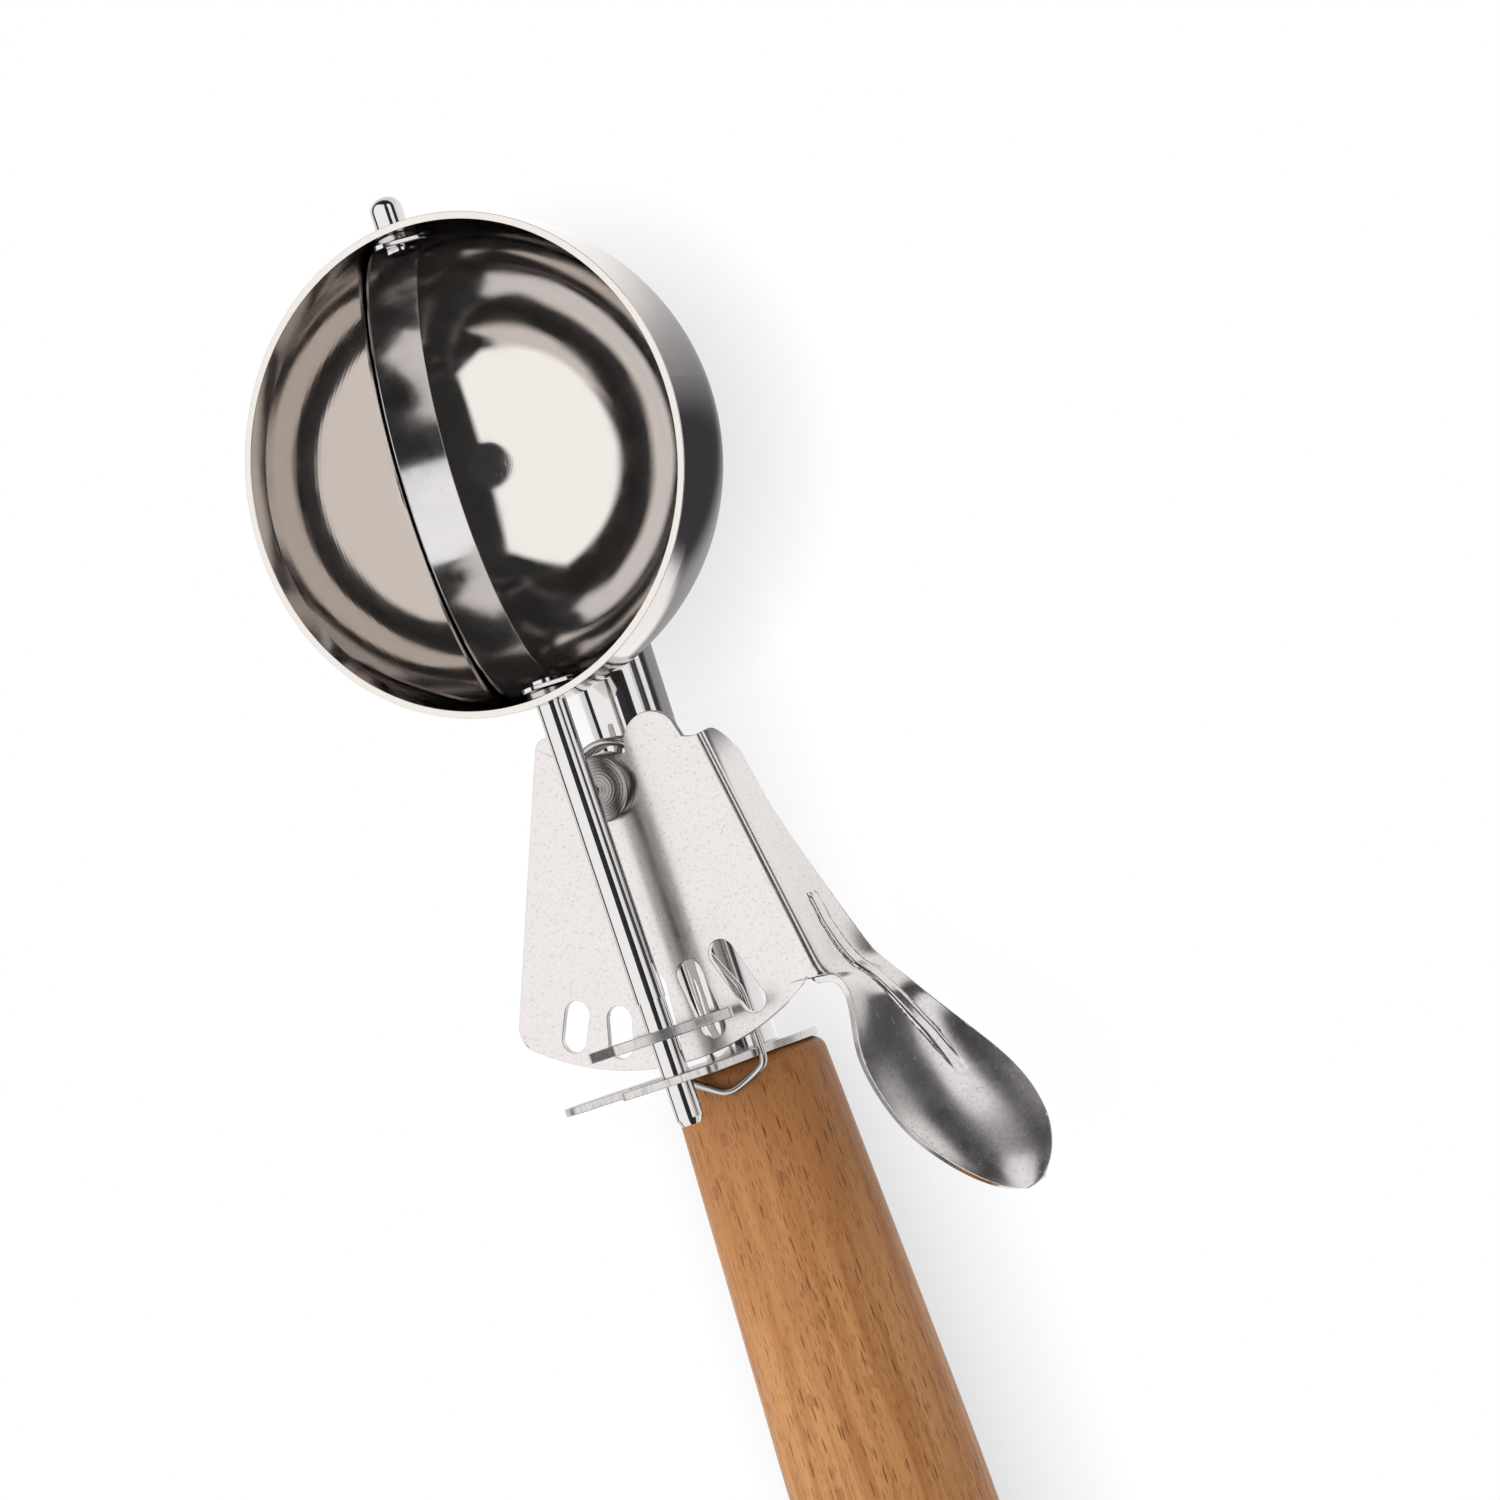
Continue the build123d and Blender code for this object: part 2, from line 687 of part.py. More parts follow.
with BuildPart() as pivot_washer:
    with BuildSketch(Plane(origin=(0, pivot_y, pivot_washer_low))):
        Circle(pivot_washer_diameter / 2)
        Circle(shank_radius + running_gap, mode=Mode.SUBTRACT)
    extrude(amount=pivot_washer_thickness)
pivot_washer.part.label = "pivot_washer"
export_step(pivot_washer.part, "parts/pivot_washer.step")

# Return spring. Its hook clears the front of the handle, and the fixed leg runs up from there just
# behind the fan, so the coil starts at that height and winds down towards the neck.
leg_x = tongue_right + leg_beside_tongue
hook_end = Vector(leg_x - hook_reach, handle_length - hook_end_drop, coil_top_z)
hook_low = Vector(leg_x - hook_in, handle_length - hook_drop, coil_top_z)
leg_low = Vector(leg_x, handle_length - leg_below_plate, coil_top_z)
leg_high = Vector(leg_x, plate_top_y + leg_above_plate, coil_top_z)
coil_centre = Vector(0, pivot_y, coil_top_z)


# Angle at which a straight leg from a point touches the coil, on its clockwise or other side
def touch_angle(point, side):
    away = point - coil_centre
    reach = hypot(away.X, away.Y)
    return degrees(atan2(away.Y, away.X)) + side * degrees(acos(coil_radius / reach))


# A place on the coil after so many degrees clockwise from its start, and the wire's direction there
def coil_place(turned):
    angle = radians(coil_start_angle - turned)
    drop = coil_pitch * turned / 360
    return coil_centre + Vector(coil_radius * cos(angle), coil_radius * sin(angle), -drop)


def coil_direction(turned, slope):
    angle = radians(coil_start_angle - turned)
    return Vector(sin(angle), -cos(angle), -slope).normalized()


# Two arcs that join two places and keep the wire's direction at both
def biarc(start, start_way, end, end_way):
    chord = end - start
    square = 2 * (1 - start_way.dot(end_way))
    linear = 2 * chord.dot(start_way + end_way)
    reach = (sqrt(linear**2 + 4 * square * chord.dot(chord)) - linear) / (2 * square)
    first = start + start_way * reach
    second = end - end_way * reach
    middle = (first + second) / 2
    TangentArc(start, middle, tangent=start_way)
    TangentArc(middle, end, tangent=second - first)


contact_along = bend_along * moving_leg_contact
contact_in = bend_out * (bend_inner_radius - wire_diameter / 2 - moving_leg_gap)
flange_contact = bend_top + contact_along + contact_in
coil_start_angle = touch_angle(leg_high, -1)
coil_end_angle = touch_angle(flange_contact, 1)
coil_sweep = (coil_start_angle - coil_end_angle) % 360 + full_coils * 360
coil_steps = ceil(coil_sweep / 90)
coil_slope = coil_pitch / (2 * pi * coil_radius)
coil_end = coil_place(coil_sweep)
moving_leg_end = Vector(flange_contact.X, flange_contact.Y, coil_end.Z)

with BuildPart() as return_spring:
    with BuildLine() as wire:
        FilletPolyline(
            hook_end,
            hook_low,
            leg_low,
            leg_high,
            coil_place(0),
            radius=[hook_round, hook_round, leg_round],
        )
        for step in range(coil_steps):
            turned = coil_sweep * step / coil_steps
            turned_next = coil_sweep * (step + 1) / coil_steps
            slope = 0 if step == 0 else coil_slope
            slope_next = 0 if step == coil_steps - 1 else coil_slope
            biarc(
                coil_place(turned),
                coil_direction(turned, slope),
                coil_place(turned_next),
                coil_direction(turned_next, slope_next),
            )
        Line(coil_end, moving_leg_end)
    wire_path = wire.wire()
    with BuildSketch(Plane(origin=wire_path @ 0, z_dir=wire_path % 0)):
        Circle(wire_diameter / 2)
    sweep(path=wire_path)
return_spring.part.label = "return_spring"
export_step(return_spring.part, "parts/return_spring.step")

# The spring's least gap to itself, measured on points that lie more than half a turn apart
wire_length = wire_path.length
sample_count = samples_per_edge * len(wire_path.edges())
samples = [wire_path @ (number / sample_count) for number in range(sample_count + 1)]
apart = ceil(pi * coil_radius / wire_length * sample_count)
least_gap = min(
    (samples[low] - samples[high]).length
    for low in range(sample_count + 1)
    for high in range(low + apart, sample_count + 1)
) - wire_diameter
wire_volume = pi * wire_diameter**2 / 4 * wire_length
print("spring least gap", round(least_gap, 3), "volume share", round(return_spring.part.volume / wire_volume, 4))
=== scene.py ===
from math import acos, atan2, cos, hypot, pi, radians, sin

import bmesh
import bpy
from mathutils import Matrix, Vector
from mathutils.bvhtree import BVHTree
from mathutils.geometry import intersect_point_line


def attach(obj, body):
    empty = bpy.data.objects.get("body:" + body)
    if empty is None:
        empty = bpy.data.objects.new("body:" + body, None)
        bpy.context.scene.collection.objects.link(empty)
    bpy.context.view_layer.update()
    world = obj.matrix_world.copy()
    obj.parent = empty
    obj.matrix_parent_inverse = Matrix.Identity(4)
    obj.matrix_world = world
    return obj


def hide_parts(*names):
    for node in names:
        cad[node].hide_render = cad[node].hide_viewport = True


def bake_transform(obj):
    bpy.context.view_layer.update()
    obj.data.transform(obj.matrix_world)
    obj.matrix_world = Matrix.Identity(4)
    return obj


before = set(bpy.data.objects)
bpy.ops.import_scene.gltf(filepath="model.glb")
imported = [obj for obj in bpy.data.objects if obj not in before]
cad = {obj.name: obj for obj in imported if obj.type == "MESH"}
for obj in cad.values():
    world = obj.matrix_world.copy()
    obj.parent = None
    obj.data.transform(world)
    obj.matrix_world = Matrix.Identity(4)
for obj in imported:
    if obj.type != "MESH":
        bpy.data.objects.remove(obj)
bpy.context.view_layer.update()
MM = 0.001

# Handle: a turned beech grip with a soft belly, oiled and sanded. Its grain runs along the
# grip, with short dark pores and a few square ray flecks. It is glued on the stud.
wood_light = (0.570, 0.270, 0.098, 1)
deep_grain_and_shade = (0.395, 0.155, 0.042, 1)
wood_pore = (0.120, 0.042, 0.012, 1)
wood_ray = (0.270, 0.092, 0.024, 1)
# The grip is darkened towards its top, under the base plate: painted shade.
shade_from_y, shade_to_y = 70, 108


def new_finish(name, **values):
    finish = bpy.data.materials.new(name)
    finish.use_nodes = True
    shader = finish.node_tree.nodes["Principled BSDF"]
    for socket, value in values.items():
        shader.inputs[socket.replace("_", " ")].default_value = value
    return finish, finish.node_tree, shader


def put(tree, kind, inputs=(), **settings):
    node = tree.nodes.new("ShaderNode" + kind)
    for name, value in settings.items():
        setattr(node, name, value)
    for name, value in dict(inputs).items():
        socket = node.inputs[name]
        if isinstance(value, bpy.types.NodeSocket):
            tree.links.new(value, socket)
        else:
            socket.default_value = value
    return node


def in_millimetres(tree, stretch=(1, 1, 1), shift=(0, 0, 0)):
    place = put(tree, "TexCoord").outputs["Object"]
    scale = [1 / MM * s for s in stretch]
    settings = {"Vector": place, "Scale": scale, "Location": shift}
    return put(tree, "Mapping", settings).outputs["Vector"]


def ramp(tree, value, low, high):
    settings = {"Value": value, "From Min": low, "From Max": high}
    return put(tree, "MapRange", settings, interpolation_type="SMOOTHSTEP").outputs["Result"]


def times(tree, value, by):
    return put(tree, "Math", {0: value, 1: by}, operation="MULTIPLY").outputs[0]


def plus(tree, value, more):
    return put(tree, "Math", {0: value, 1: more}, operation="ADD").outputs[0]


def blend_colour(tree, share, first, second):
    settings = {0: share, 6: first, 7: second}
    return put(tree, "Mix", settings, data_type="RGBA").outputs[2]


def noise(tree, place, scale, detail=3.0, rough=0.55):
    settings = {"Vector": place, "Scale": scale, "Detail": detail, "Roughness": rough}
    return put(tree, "TexNoise", settings).outputs["Fac"]


def raise_by(tree, shader, height, strength, distance):
    settings = {"Height": height, "Strength": strength, "Distance": distance}
    tree.links.new(put(tree, "Bump", settings).outputs["Normal"], shader.inputs["Normal"])


def grain_dashes(tree, stretch, shift, chosen):
    place = in_millimetres(tree, stretch, shift)
    cell = put(tree, "TexVoronoi", {"Vector": place, "Scale": 1.0, "Randomness": 1.0})
    pick = put(tree, "SeparateColor", {"Color": cell.outputs["Color"]}).outputs["Red"]
    dash = ramp(tree, cell.outputs["Distance"], 0.44, 0.24)
    return times(tree, dash, ramp(tree, pick, chosen, chosen + 0.35))


def wear(node, finish):
    cad[node].data.materials.clear()
    cad[node].data.materials.append(finish)


oiled_beech, tree, shader = new_finish("oiled_beech", Specular_IOR_Level=0.30)
streaks = noise(tree, in_millimetres(tree, (0.75, 0.020, 0.75)), 1.0, 5.0, 0.62)
rings = noise(tree, in_millimetres(tree, (0.16, 0.006, 0.16), (3, 0, 5)), 1.0, 2.0, 0.5)
tone = blend_colour(tree, ramp(tree, streaks, 0.36, 0.70), wood_light, deep_grain_and_shade)
tone = blend_colour(tree, times(tree, ramp(tree, rings, 0.42, 0.66), 0.40), tone, deep_grain_and_shade)
# Painted shade: the grip darkens towards its top, where the base plate shades it.
along_grip = put(tree, "SeparateXYZ", {"Vector": in_millimetres(tree)}).outputs["Y"]
shade_near_top = ramp(tree, along_grip, shade_from_y, shade_to_y)
tone = blend_colour(tree, times(tree, shade_near_top, 0.65), tone, deep_grain_and_shade)
fine_dashes = grain_dashes(tree, (4.6, 0.62, 4.6), (0, 0, 0), 0.35)
long_dashes = grain_dashes(tree, (2.9, 0.30, 2.9), (7, 3, 2), 0.62)
tone = blend_colour(tree, times(tree, fine_dashes, 0.50), tone, wood_pore)
tone = blend_colour(tree, times(tree, long_dashes, 0.80), tone, wood_pore)
pore_mask = plus(tree, times(tree, fine_dashes, 0.4), long_dashes)
squares = in_millimetres(tree, (0.50, 0.34, 0.50), (1.7, 0.4, 0.9))
ray = put(tree, "TexVoronoi", {"Vector": squares, "Scale": 1.0}, distance="CHEBYCHEV")
ray_pick = put(tree, "SeparateColor", {"Color": ray.outputs["Color"]}).outputs["Green"]
ray_square = ramp(tree, ray.outputs["Distance"], 0.32, 0.24)
ray_mask = times(tree, ray_square, ramp(tree, ray_pick, 0.86, 0.92))
tone = blend_colour(tree, times(tree, ray_mask, 0.45), tone, wood_ray)
tree.links.new(tone, shader.inputs["Base Color"])
sheen = plus(tree, times(tree, streaks, 0.16), 0.42)
tree.links.new(sheen, shader.inputs["Roughness"])
grain_depth = plus(tree, times(tree, pore_mask, -1.0), times(tree, streaks, 0.5))
raise_by(tree, shader, grain_depth, 0.25, 0.05 * MM)
wear("handle", oiled_beech)

# Stud and small turned parts: plain bright steel, drawn and cut on a lathe. The stud is hidden in
# the grip and the neck, the washers and the bush only show at their edges.
turned_steel = (0.50, 0.485, 0.475, 1)
scratch_turns = ((0.3, 0.1, 0.5), (0.2, 0.6, 2.1), (0.9, 0.2, 1.2))


def surface_marks():
    group = bpy.data.node_groups.new("surface_marks", "ShaderNodeTree")
    face = group.interface
    face.new_socket("Place", in_out="INPUT", socket_type="NodeSocketVector")
    face.new_socket("Speck Scale", in_out="INPUT", socket_type="NodeSocketFloat")
    for mask in ("Specks", "Mottle", "Scratches"):
        face.new_socket(mask, in_out="OUTPUT", socket_type="NodeSocketFloat")
    entry = group.nodes.new("NodeGroupInput")
    place = entry.outputs["Place"]
    fine = noise(group, place, entry.outputs["Speck Scale"], 2.0, 0.6)
    cloud = noise(group, place, 0.22, 4.0, 0.6)
    lines = []
    for turn in scratch_turns:
        settings = {"Vector": place, "Rotation": turn, "Scale": (3.2, 0.12, 3.2)}
        drawn = put(group, "Mapping", settings).outputs["Vector"]
        lines.append(ramp(group, noise(group, drawn, 1.0, 3.0, 0.7), 0.64, 0.74))
    scratches = lines[0]
    for line in lines[1:]:
        scratches = put(group, "Math", {0: scratches, 1: line}, operation="MAXIMUM").outputs[0]
    leave = group.nodes.new("NodeGroupOutput")
    group.links.new(ramp(group, fine, 0.52, 0.74), leave.inputs["Specks"])
    group.links.new(ramp(group, cloud, 0.3, 0.7), leave.inputs["Mottle"])
    group.links.new(scratches, leave.inputs["Scratches"])
    return group


marks_group = surface_marks()


def marks_on(tree, speck_scale):
    marks = tree.nodes.new("ShaderNodeGroup")
    marks.node_tree = marks_group
    tree.links.new(in_millimetres(tree), marks.inputs["Place"])
    marks.inputs["Speck Scale"].default_value = speck_scale
    return marks.outputs


def worn_gloss(tree, shader, marks, base, mottle, scratches):
    cloudy, scratched = times(tree, marks["Mottle"], mottle), times(tree, marks["Scratches"], scratches)
    dull = plus(tree, cloudy, scratched)
    tree.links.new(plus(tree, dull, base), shader.inputs["Roughness"])


lathe_cut, tree, shader = new_finish("lathe_cut_steel", Metallic=1.0, Base_Color=turned_steel)
marks = marks_on(tree, 5.0)
worn_gloss(tree, shader, marks, base=0.20, mottle=0.10, scratches=0.12)
raise_by(tree, shader, marks["Scratches"], 0.2, 0.01 * MM)
for small_part in ("tang_stud", "pivot_bush", "pivot_washer", "tip_washer", "shaft_washer"):
    wear(small_part, lathe_cut)

# Base plate: one stamping of bright sheet, square to the grip, with the tongue that carries the
# shaft's foot and the finger lobe. Its edge is sheared, so it is streaked across.
sheet_tone = (0.56, 0.535, 0.525, 1)
sheet_dark = (0.13, 0.122, 0.118, 1)
stamped_edge = 0.14

stamped_sheet, tree, shader = new_finish("stamped_sheet", Metallic=1.0)
marks = marks_on(tree, 2.0)
sheared = noise(tree, in_millimetres(tree, (2.6, 0.25, 2.6)), 1.0, 4.0, 0.65)
shear_lines = times(tree, ramp(tree, sheared, 0.52, 0.72), 0.55)
streaked = plus(tree, times(tree, marks["Specks"], 0.25), shear_lines)
tree.links.new(blend_colour(tree, streaked, sheet_tone, sheet_dark), shader.inputs["Base Color"])
worn_gloss(tree, shader, marks, base=0.26, mottle=0.08, scratches=0.15)
raise_by(tree, shader, sheared, 0.35, 0.04 * MM)


def placed(name, data):
    thing = bpy.data.objects.new(name, data)
    bpy.context.scene.collection.objects.link(thing)
    return thing


def finished(bm, name):
    mesh = bpy.data.meshes.new(name)
    bm.to_mesh(mesh)
    bm.free()
    return placed(name, mesh)


def soften(piece, width):
    edges = piece.modifiers.new("edges", "BEVEL")
    edges.width, edges.segments, edges.limit_method = width * MM, 2, "ANGLE"
    edges.angle_limit = radians(50)
    edges.harden_normals, edges.use_clamp_overlap = True, False
    piece.data.shade_smooth()


def with_soft_edges(node, name, width):
    bm = bmesh.new()
    bm.from_mesh(cad[node].data)
    bmesh.ops.remove_doubles(bm, verts=bm.verts, dist=0.001 * MM)
    bmesh.ops.dissolve_limit(bm, angle_limit=radians(0.5), verts=bm.verts, edges=bm.edges)
    for edge in bm.edges:
        edge.smooth = True
    piece = finished(bm, name)
    for leftover in ("custom_normal", "sharp_face"):
        if leftover in piece.data.attributes:
            piece.data.attributes.remove(piece.data.attributes[leftover])
    soften(piece, width)
    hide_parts(node)
    return piece


base_plate = with_soft_edges("base_plate", "base_plate_sheet", stamped_edge)
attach(base_plate, "frame")
base_plate.data.materials.append(stamped_sheet)

# Neck: a tapered bar, mirror polished and brazed to the bowl's back. It is pushed on the stud and
# has a small flat where the lever's pivot stands.
mirror_tone = (0.62, 0.605, 0.595, 1)

mirror_steel, tree, shader = new_finish("mirror_polished_steel", Metallic=1.0, Base_Color=mirror_tone)
marks = marks_on(tree, 6.0)
worn_gloss(tree, shader, marks, base=0.045, mottle=0.04, scratches=0.10)
ripple = noise(tree, in_millimetres(tree, (0.5, 0.16, 0.5)), 1.0, 2.0, 0.5)
raise_by(tree, shader, ripple, 0.05, 0.05 * MM)
wear("neck", mirror_steel)

# Bowl: spun steel, polished, with a cut rim. The spinning left fine rings about its axis and the
# polish a soft unevenness, so its reflections waver a little.
bowl_y = 187.4
bowl_tone = (0.660, 0.622, 0.592, 1)

spun_steel, tree, shader = new_finish("spun_steel", Metallic=1.0, Base_Color=bowl_tone)
marks = marks_on(tree, 3.0)
centred = in_millimetres(tree, shift=(0, -bowl_y, 0))
ring_settings = {"Vector": centred, "Scale": 1.7, "Distortion": 1.2, "Detail": 3.0, "Detail Scale": 0.6}
spun = put(tree, "TexWave", ring_settings, wave_type="RINGS", rings_direction="Z")
worn_gloss(tree, shader, marks, base=0.05, mottle=0.05, scratches=0.10)
wavy = noise(tree, in_millimetres(tree, (0.07, 0.07, 0.07)), 1.0, 1.0, 0.4)
relief = plus(tree, times(tree, spun.outputs["Fac"], 0.006), wavy)
raise_by(tree, shader, relief, 0.35, 0.35 * MM)
wear("bowl", spun_steel)

# Lever: one stamping of satin sheet. Its fan has five slots as a rack, and its side is folded down
# into a flange that runs on as the arm and the dished pad, stiffened by a pressed rib.
pivot_y = 146.2
lever_tilt = radians(5.0)
lever_back_z, sheet_thickness = 11.4, 0.9
sheet_middle = sheet_thickness / 2
lever_edge = 0.10
slot_pitch = 11.801
slot_turns = [radians(slot_pitch * number) for number in (-2, -1, 0, 1, 2)]
slot_lengths = [6.5, 6.5, 10.0, 10.0, 10.0]
slot_width, slot_reach = 3.4, 32.9
pivot_hole_radius, hole_points = 2.05, 28
rib_line = [(20.9, -18.9, -4.7), (21.6, -21.8, -4.5), (22.5, -24.6, -4.8), (24.0, -27.3, -5.2),
            (26.0, -30.0, -5.4), (28.6, -33.0, -5.5), (31.6, -37.0, -5.0), (34.2, -41.5, -4.6)]
rib_half_width, rib_shoulder, rib_height, rib_run_out = 0.62, 0.22, 0.32, 7.0

# Corners of the fan from the fold's top: the ear, the notch about the rivet, the horn and the heel.
ear_start, ear_middle, ear_turn = (10.94, 5.78), (7.7, 3.8), 148.6
notch_right, notch_left = (3.9, 3.5), (-3.2, 3.5)
notch_middle, notch_turn = (-3.2, 4.5), -90
horn_inner, horn_outer = (-4.2, 7.6), (-6.497, 7.6)
horn_middle, horn_turn = (-6.497, 6.0), 70.1
heel_start, heel_middle, heel_turn = (-19.561, -25.428), (-16.74, -26.448), 77.6
rack_middle, rack_turn = (0, 0), 66.8

# Rows of the folded sheet from its top to the pad's tip: along the fold, the flare of its rear edge,
# then the arm's front and rear edges and the depth of its dish.
fold_top = Vector((12.82, 2.70, 0))
fold_way = Vector((7.68, -30.20, 0)).normalized()
fold_out = Vector((-fold_way.y, fold_way.x, 0))
fold_length, flange_depth, flange_deepens = 31.16, 7.3, 1.7
flange_rows = [(5.0, 0.0), (10.3, 0.0), (17.1, 0.86), (24.3, 1.98), (29.0, 2.75), (31.4, 3.2)]
arm_rows = [((21.45, -28.25, 0.45), (25.75, -27.75, -8.12), 0.35),
            ((22.9, -28.15, 0.40), (26.9, -29.15, -8.17), 0.5),
            ((23.95, -29.0, 0.32), (28.4, -30.8, -8.2), 0.7),
            ((24.55, -30.7, 0.32), (29.9, -32.6, -8.4), 0.9),
            ((24.43, -33.9, 0.70), (31.5, -34.5, -8.6), 1.2),
            ((24.23, -38.0, 1.51), (34.9, -38.4, -9.0), 1.5),
            ((25.85, -43.0, 1.92), (38.0, -42.1, -9.3), 1.5),
            ((28.27, -48.0, 1.92), (40.4, -45.9, -9.1), 1.35),
            ((32.31, -52.7, 0.90), (42.0, -50.0, -8.0), 0.9),
            ((35.2, -55.3, -0.30), (42.2, -52.4, -6.9), 0.50),
            ((37.2, -56.7, -1.6), (42.0, -54.5, -5.7), 0.25),
            ((39.1, -57.35, -3.1), (41.0, -56.5, -4.45), 0.05)]
tip_round = 0.15
fold_steps = [(-0.8, 0.45), (0.60, 0.45), (1.13, 0.23), (1.35, -0.30)]
top_edge = [-1.2, -0.45, -0.5, -0.55, -0.7, -0.75, -0.4, 0.3, 1.3, 3.0]
across_shares = [0, 0.10, 0.18, 0.26, 0.385, 0.51, 0.63, 0.753, 0.877, 1]
smooth_level = 4


def flange_place(column, along, flare):
    if column < len(fold_steps):
        out, rise = fold_steps[column]
    else:
        bend_out, bend_low = fold_steps[-1]
        share = (column - len(fold_steps) + 1) / (len(across_shares) - len(fold_steps))
        deep = flange_deepens * along / fold_length
        rise = bend_low + share * (-bend_low + sheet_thickness - flange_depth - deep)
        out = bend_out + flare * share ** 2
    place = fold_top + fold_way * along + fold_out * out
    return Vector((place.x, place.y, rise))


def arm_place(number, column):
    front, rear, dish = arm_rows[number]
    front, rear = Vector(front), Vector(rear)
    last = len(arm_rows) - 1
    before, after = arm_rows[max(number - 1, 0)], arm_rows[min(number + 1, last)]
    run = Vector(after[0]) + Vector(after[1]) - Vector(before[0]) - Vector(before[1])
    share = across_shares[column]
    bow = 4 * share * (1 - share)
    sunk = (rear - front).cross(run).normalized()
    tip = run.normalized() * tip_round if number == last else Vector()
    return front.lerp(rear, share) + (sunk * dish + tip) * bow


def sheet_net(bm):
    columns, rows = len(across_shares), 1 + len(flange_rows) + len(arm_rows)
    made = bmesh.ops.create_grid(bm, x_segments=columns - 1, y_segments=rows - 1, size=0.5)
    for vert in made["verts"]:
        column = round((vert.co.x + 0.5) * (columns - 1))
        row = round((vert.co.y + 0.5) * (rows - 1))
        if row == 0:
            vert.co = flange_place(column, top_edge[column], 0)
        elif row <= len(flange_rows):
            vert.co = flange_place(column, *flange_rows[row - 1])
        else:
            vert.co = arm_place(row - len(flange_rows) - 1, column)


def as_mesh(piece):
    bpy.context.view_layer.update()
    shown = piece.evaluated_get(bpy.context.evaluated_depsgraph_get())
    made = bpy.data.meshes.new_from_object(shown)
    bpy.data.objects.remove(piece)
    return made


net_bm = bmesh.new()
sheet_net(net_bm)
net = finished(net_bm, "lever_net")
smooth = net.modifiers.new("smooth", "SUBSURF")
smooth.levels = smooth.render_levels = smooth_level
smooth.boundary_smooth = "PRESERVE_CORNERS"
sheet_bm = bmesh.new()
sheet_bm.from_mesh(as_mesh(net))


# The rib is raised out of the smooth sheet along a line that is snapped to it.
def off_line(place, line):
    gaps = []
    for low, high in zip(line, line[1:]):
        share = intersect_point_line(place, low, high)[1]
        gaps.append((place - low.lerp(high, min(max(share, 0), 1))).length)
    return min(gaps)


surface = BVHTree.FromBMesh(sheet_bm)
rib = [surface.find_nearest(Vector(place))[0] for place in rib_line]
sheet_bm.normal_update()
raised = []
for vert in sheet_bm.verts:
    apart = off_line(vert.co, rib)
    height = min(max((rib_half_width + rib_shoulder - apart) / (2 * rib_shoulder), 0), 1)
    fade = min((vert.co - rib[-1]).length / rib_run_out, 1)
    outward = vert.normal if vert.normal.x > 0 else -vert.normal
    raised.append((vert, outward * (rib_height * fade * height * height * (3 - 2 * height))))
for vert, shift in raised:
    vert.co += shift


# The fan's outline runs from the folded sheet's edge round the ear, the notch and the wide arc.
def edge_line(vert, way, steps):
    line = [vert]
    for step in range(steps):
        beside = [edge.other_vert(vert) for edge in vert.link_edges if edge.is_boundary]
        onward = [other for other in beside if other not in line]
        vert = max(onward, key=lambda other: (other.co - line[-1].co).dot(way))
        line.append(vert)
    return line


def straight(vert, place):
    end = sheet_bm.verts.new((*place, sheet_middle))
    sheet_bm.edges.new((vert, end))
    return end


def rounded(vert, middle, turn, steps):
    made = bmesh.ops.spin(sheet_bm, geom=[vert], cent=(*middle, sheet_middle), axis=(0, 0, 1),
                          angle=radians(turn), steps=steps)
    return [item for item in made["geom_last"] if isinstance(item, bmesh.types.BMVert)][0]


fold_corner = flange_place(0, top_edge[0], 0)
corner = min(sheet_bm.verts, key=lambda vert: (vert.co - fold_corner).length)
joint = edge_line(corner, fold_way, 2 ** smooth_level * len(flange_rows))
end = straight(corner, ear_start)
end = rounded(end, ear_middle, ear_turn, 22)
end = straight(end, notch_right)
end = straight(end, notch_left)
end = rounded(end, notch_middle, notch_turn, 8)
end = straight(end, horn_inner)
end = straight(end, horn_outer)
end = rounded(end, horn_middle, horn_turn, 8)
end = straight(end, heel_start)
end = rounded(end, heel_middle, heel_turn, 12)
end = rounded(end, rack_middle, rack_turn, 64)
sheet_bm.edges.new((end, joint[-1]))
for turn, length in zip(slot_turns, slot_lengths):
    made = bmesh.ops.create_circle(sheet_bm, segments=hole_points, radius=slot_width / 2)
    far_half = [vert for vert in made["verts"] if vert.co.y < -0.001]
    bmesh.ops.translate(sheet_bm, verts=far_half, vec=(0, slot_width - length, 0))
    slot_start = (0, length - slot_reach - slot_width / 2, sheet_middle)
    bmesh.ops.translate(sheet_bm, verts=made["verts"], vec=slot_start)
    bmesh.ops.rotate(sheet_bm, verts=made["verts"], matrix=Matrix.Rotation(turn, 3, "Z"))
bmesh.ops.create_circle(sheet_bm, segments=hole_points, radius=pivot_hole_radius,
                        matrix=Matrix.Translation((0, 0, sheet_middle)))
border = [edge for edge in sheet_bm.edges if edge.is_wire]
border += [edge for edge in sheet_bm.edges
           if edge.is_boundary and edge.verts[0] in joint and edge.verts[1] in joint]
bmesh.ops.triangle_fill(sheet_bm, use_beauty=True, edges=border, normal=(0, 0, 1))
bmesh.ops.recalc_face_normals(sheet_bm, faces=sheet_bm.faces)


def set_in_frame(bm, place, name):
    bmesh.ops.transform(bm, matrix=Matrix.Scale(MM, 4) @ place, verts=bm.verts)
    return finished(bm, name)


lever_place = Matrix.Translation((0, pivot_y, lever_back_z)) @ Matrix.Rotation(-lever_tilt, 4, "Z")
lever = set_in_frame(sheet_bm, lever_place, "lever_sheet")
wall = lever.modifiers.new("sheet", "SOLIDIFY")
wall.thickness, wall.offset = sheet_thickness * MM, 0
wall.use_quality_normals = True
soften(lever, lever_edge)
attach(lever, "lever")
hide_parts("lever")

satin_tone = (0.645, 0.614, 0.602, 1)
satin_speck = (0.30, 0.282, 0.274, 1)

